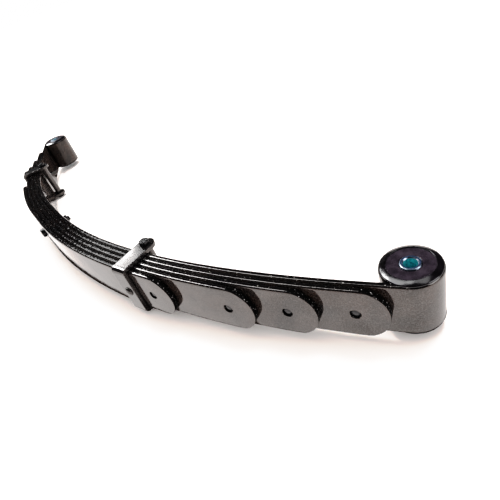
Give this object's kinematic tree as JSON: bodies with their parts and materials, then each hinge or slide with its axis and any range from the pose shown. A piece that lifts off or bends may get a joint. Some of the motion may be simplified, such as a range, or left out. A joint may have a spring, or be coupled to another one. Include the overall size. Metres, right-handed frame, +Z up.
{
  "type": "leaf spring",
  "caption": "Semi-elliptic leaf spring with a stack of arched black steel leaves, a rolled and rubber-bushed eye at each end, bolt clips and a centre bolt.",
  "frame": {"origin": "in line with the centre bolt, on the concave face of the main leaf, at its lower edge; the mount plate_seat lies 4 mm above it on the same face", "axes": "+X along the leaves towards the longer half, +Y to the concave side, where the eyes are rolled, +Z up along the eye axes, across the width of the leaves"},
  "size_m": [1.0877, 0.2705, 0.0869],
  "materials": {
    "leaf_paint": "gloss black paint on spring steel",
    "clip_paint": "gloss black paint on a bent steel strap",
    "fastener_steel": "black paint over plated steel, worn at the corners",
    "bush_rubber": "smooth moulded black rubber",
    "sleeve_steel": "plated steel with a blue-green tint in the bore",
    "pad_plastic": "moulded black low-friction plastic"
  },
  "bodies": {
    "leaf_pack": {"main_leaf": "leaf_paint", "second_leaf": "leaf_paint", "third_leaf": "leaf_paint", "fourth_leaf": "leaf_paint", "fifth_leaf": "leaf_paint", "second_leaf_near_pad": "pad_plastic", "third_leaf_near_pad": "pad_plastic", "fourth_leaf_near_pad": "pad_plastic", "fifth_leaf_near_pad": "pad_plastic", "second_leaf_far_pad": "pad_plastic", "third_leaf_far_pad": "pad_plastic", "fourth_leaf_far_pad": "pad_plastic", "fifth_leaf_far_pad": "pad_plastic", "centre_bolt": "fastener_steel", "centre_bolt_nut": "fastener_steel"},
    "near_eye": {"near_bush_upper": "bush_rubber", "near_bush_lower": "bush_rubber"},
    "near_sleeve": {"near_eye_sleeve": "sleeve_steel"},
    "near_clip": {"near_clip_strap": "clip_paint", "near_clip_rivet": "clip_paint", "near_clip_bolt": "fastener_steel", "near_clip_spacer": "clip_paint", "near_clip_nut": "fastener_steel"},
    "far_eye": {"far_bush_upper": "bush_rubber", "far_bush_lower": "bush_rubber"},
    "far_sleeve": {"far_eye_sleeve": "sleeve_steel"},
    "far_clip": {"far_clip_strap": "clip_paint", "far_clip_rivet": "clip_paint", "far_clip_bolt": "fastener_steel", "far_clip_spacer": "clip_paint", "far_clip_nut": "fastener_steel"}
  },
  "joints": [
    {"name": "near_flex", "type": "hinge", "parent": "leaf_pack", "child": "near_eye", "pos_m": [0.23335, 0.01998, 0.03175], "axis": [0, 0, -1], "range_deg": [-2, 18], "stiffness_Nm_per_rad": 3500, "deforming": ["main_leaf", "second_leaf", "third_leaf", "fourth_leaf", "fifth_leaf"]},
    {"name": "far_flex", "type": "hinge", "parent": "leaf_pack", "child": "far_eye", "pos_m": [-0.17038, 0.01113, 0.03175], "axis": [0, 0, 1], "range_deg": [-2, 13], "deforming": ["main_leaf"]},
    {"name": "near_clip_flex", "type": "hinge", "parent": "leaf_pack", "child": "near_clip", "pos_m": [0.25506, 0.02247, 0.03175], "axis": [0, 0, -1], "range_deg": [-1.5, 12.2]},
    {"name": "far_clip_flex", "type": "hinge", "parent": "leaf_pack", "child": "far_clip", "pos_m": [-0.19891, 0.01477, 0.03175], "axis": [0, 0, 1], "range_deg": [-1.5, 12]},
    {"name": "near_sleeve_turn", "type": "hinge", "parent": "near_eye", "child": "near_sleeve", "pos_m": [0.59856, 0.19661, 0.03175], "axis": [0, 0, 1], "range_deg": [-30, 30]},
    {"name": "far_sleeve_turn", "type": "hinge", "parent": "far_eye", "child": "far_sleeve", "pos_m": [-0.42911, 0.12119, 0.03175], "axis": [0, 0, 1], "range_deg": [-30, 30]}
  ],
  "couplings": [
    {"joint": "far_flex", "follows": "near_flex", "ratio": 0.7},
    {"joint": "near_clip_flex", "follows": "near_flex", "ratio": 0.66},
    {"joint": "far_clip_flex", "follows": "near_flex", "ratio": 0.649}
  ]
}
